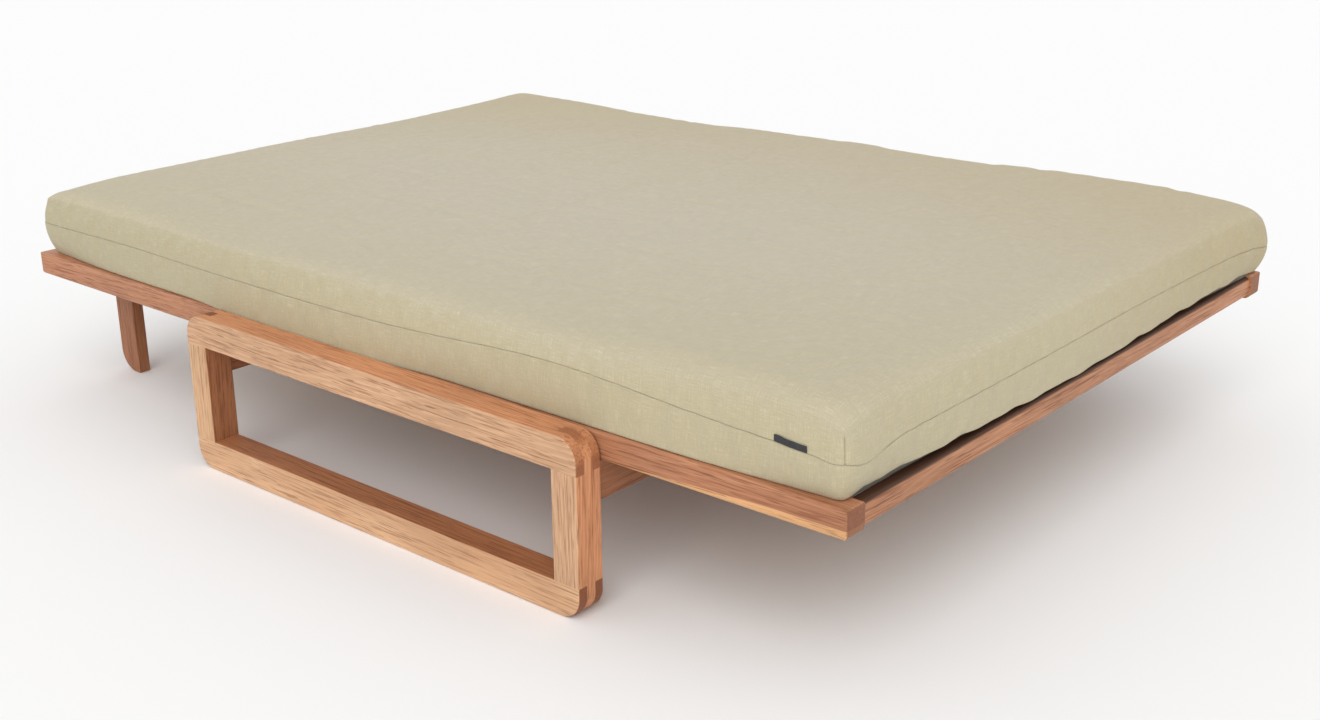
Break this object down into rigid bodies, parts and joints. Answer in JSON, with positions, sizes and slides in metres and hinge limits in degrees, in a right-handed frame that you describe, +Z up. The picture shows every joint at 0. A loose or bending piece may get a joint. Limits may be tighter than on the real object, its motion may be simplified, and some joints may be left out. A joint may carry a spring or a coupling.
{
  "type": "futon sofa bed",
  "caption": "Lengthwise oak sofa bed laid flat: looped side frames, a slatted platform that slides together, a back that tilts up, legs that fold, and a canvas futon mattress.",
  "frame": {"origin": "on the floor, under the middle of the bed laid flat", "axes": "+X across the bed to its right side, +Y along it from the foot end to the back end, +Z up"},
  "size_m": [1.514, 1.97, 0.4423],
  "materials": {
    "oak": "solid oak, clear oiled, satin, with rounded arrises",
    "mattress_canvas": "natural unbleached cotton canvas, fine plain weave, matt",
    "mattress_filling": "layered cotton and foam filling, unseen inside the cover",
    "tag_tape": "dark grey woven tape, bare",
    "zinc_fixings": "bright zinc-plated screws, bolts and nuts",
    "hinge_steel": "plain zinc-plated steel hinge plates and studs"
  },
  "bodies": {
    "base": {"base_screws": "zinc_fixings", "front_bearer": "oak", "front_cross_rail": "oak", "front_section_stops": "oak", "hinge_loop_plates": "hinge_steel", "hinge_studs": "hinge_steel", "left_loop_bottom_bar": "oak", "left_loop_front_post": "oak", "left_loop_rear_post": "oak", "left_loop_top_bar": "oak", "mattress_core_seat": "mattress_filling", "mattress_cover_seat": "mattress_canvas", "mattress_fold": "mattress_canvas", "rear_bearer": "oak", "rear_cross_rail": "oak", "right_loop_bottom_bar": "oak", "right_loop_front_post": "oak", "right_loop_rear_post": "oak", "right_loop_top_bar": "oak", "seat_slat_1": "oak", "seat_slat_2": "oak", "seat_slat_3": "oak", "seat_slat_4": "oak", "seat_slat_5": "oak", "seat_slat_6": "oak"},
    "front_section": {"left_front_rail": "oak", "right_front_rail": "oak", "foot_rail": "oak", "front_tie": "oak", "front_slat_1": "oak", "front_slat_2": "oak", "front_slat_3": "oak", "front_slat_4": "oak", "front_slat_5": "oak", "front_screws": "zinc_fixings", "mattress_cover_front": "mattress_canvas", "mattress_core_front": "mattress_filling", "mattress_tag": "tag_tape"},
    "back_section": {"left_back_rail": "oak", "right_back_rail": "oak", "head_rail": "oak", "back_lower_rail": "oak", "back_leg_rail": "oak", "back_slat_1": "oak", "back_slat_2": "oak", "back_slat_3": "oak", "back_slat_4": "oak", "back_slat_5": "oak", "back_slat_6": "oak", "left_leg_block": "oak", "right_leg_block": "oak", "hinge_back_plates": "hinge_steel", "back_screws": "zinc_fixings", "leg_bolts": "zinc_fixings", "leg_nuts": "zinc_fixings", "mattress_cover_back": "mattress_canvas", "mattress_core_back": "mattress_filling"},
    "left_leg": {"left_leg": "oak"},
    "right_leg": {"right_leg": "oak"}
  },
  "joints": [
    {"name": "front_slide", "type": "slide", "parent": "base", "child": "front_section", "axis": [0, 1, 0], "range_m": [0, 0.431], "deforming": ["mattress_cover_front", "mattress_core_front", "mattress_tag"]},
    {"name": "back_tilt", "type": "hinge", "parent": "base", "child": "back_section", "pos_m": [0, 0.373, 0.267], "axis": [1, 0, 0], "range_deg": [0, 75], "deforming": ["mattress_fold"]},
    {"name": "left_leg_fold", "type": "hinge", "parent": "back_section", "child": "left_leg", "pos_m": [-0.537, 0.945, 0.212], "axis": [-1, 0, 0], "range_deg": [0, 90]},
    {"name": "right_leg_fold", "type": "hinge", "parent": "back_section", "child": "right_leg", "pos_m": [0.537, 0.945, 0.212], "axis": [-1, 0, 0], "range_deg": [0, 90]}
  ]
}
